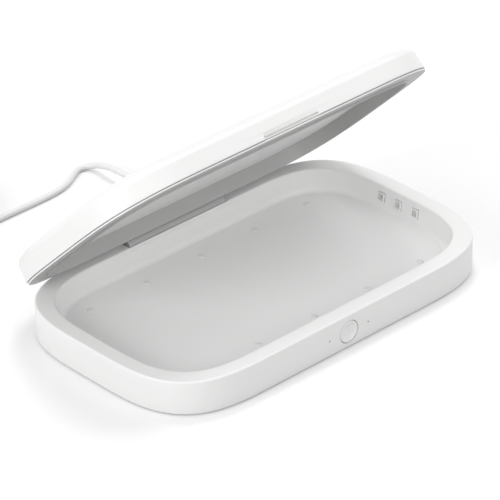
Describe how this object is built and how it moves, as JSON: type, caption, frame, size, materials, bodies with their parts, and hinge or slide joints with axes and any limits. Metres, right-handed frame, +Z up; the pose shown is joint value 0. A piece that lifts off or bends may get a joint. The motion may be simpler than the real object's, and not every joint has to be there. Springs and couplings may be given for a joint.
{
  "type": "uv sanitizer box",
  "caption": "Shallow white sanitizer box with a hinged domed lid, a padded phone well with ultraviolet lamps in its end walls, a front push button and a coiled power lead.",
  "frame": {"origin": "middle of the rest pad's underside, on the surface the box stands on, under the centre of the base", "axes": "+X along the box to the right as seen from the button, +Y towards the hinge, +Z up"},
  "size_m": [0.2625, 0.2442, 0.1057],
  "materials": {
    "shell_plastic": "fine satin",
    "inner_plastic": "fine satin",
    "plate_plastic": "satin",
    "silicone": "matte silicone",
    "steel": "plain",
    "brass_metal": "plain",
    "copper": "enamelled wire",
    "ferrite": "matte sheet",
    "circuit_board": "solder mask",
    "chip": "moulded",
    "flat_cable": "film",
    "lamp_ceramic": "ceramic package",
    "lamp_glass": "clear quartz",
    "clear_plastic": "clear",
    "button_plastic": "satin",
    "cord_white": "smooth jacket",
    "tie_strap": "soft strap",
    "adapter_plastic": "polished"
  },
  "bodies": {
    "base": {"base_housing": "shell_plastic", "base_cover": "shell_plastic", "floor_plate": "plate_plastic", "phone_nubs": "silicone", "rest_pad": "silicone", "base_screws": "steel", "charging_coil": "copper", "ferrite_plate": "ferrite", "main_board": "circuit_board", "board_parts": "chip", "flat_cables": "flat_cable", "uv_board_right": "circuit_board", "uv_leds_right": "lamp_ceramic", "uv_windows_right": "lamp_glass", "uv_board_left": "circuit_board", "uv_leds_left": "lamp_ceramic", "uv_windows_left": "lamp_glass", "tact_switch": "steel", "button_board": "circuit_board", "status_leds": "lamp_ceramic", "light_pipes": "clear_plastic", "hall_sensor": "chip", "power_socket": "steel", "socket_board": "circuit_board", "hinge_pins": "steel", "plug_tip": "steel", "cord_plug": "cord_white", "plug_relief": "cord_white", "power_cord": "cord_white", "cord_coil": "cord_white", "cord_tie": "tie_strap", "adapter_relief": "cord_white", "power_adapter": "adapter_plastic", "adapter_prongs": "brass_metal"},
    "lid": {"lid_shell": "shell_plastic", "lid_liner": "inner_plastic", "lid_hinge_block": "inner_plastic", "torque_sleeves": "brass_metal", "hinge_screws": "steel", "lid_magnet": "steel"},
    "button": {"button_cap": "button_plastic", "switch_plunger": "chip"}
  },
  "joints": [
    {"name": "lid_hinge", "type": "hinge", "parent": "base", "child": "lid", "pos_m": [0, 0.0571, 0.0164], "axis": [1, 0, 0], "range_deg": [0, 44]},
    {"name": "power_button", "type": "slide", "parent": "base", "child": "button", "axis": [0, 1, 0], "range_m": [0, 0.0006], "stiffness_N_per_m": 2500, "springref_m": -0.0003}
  ]
}
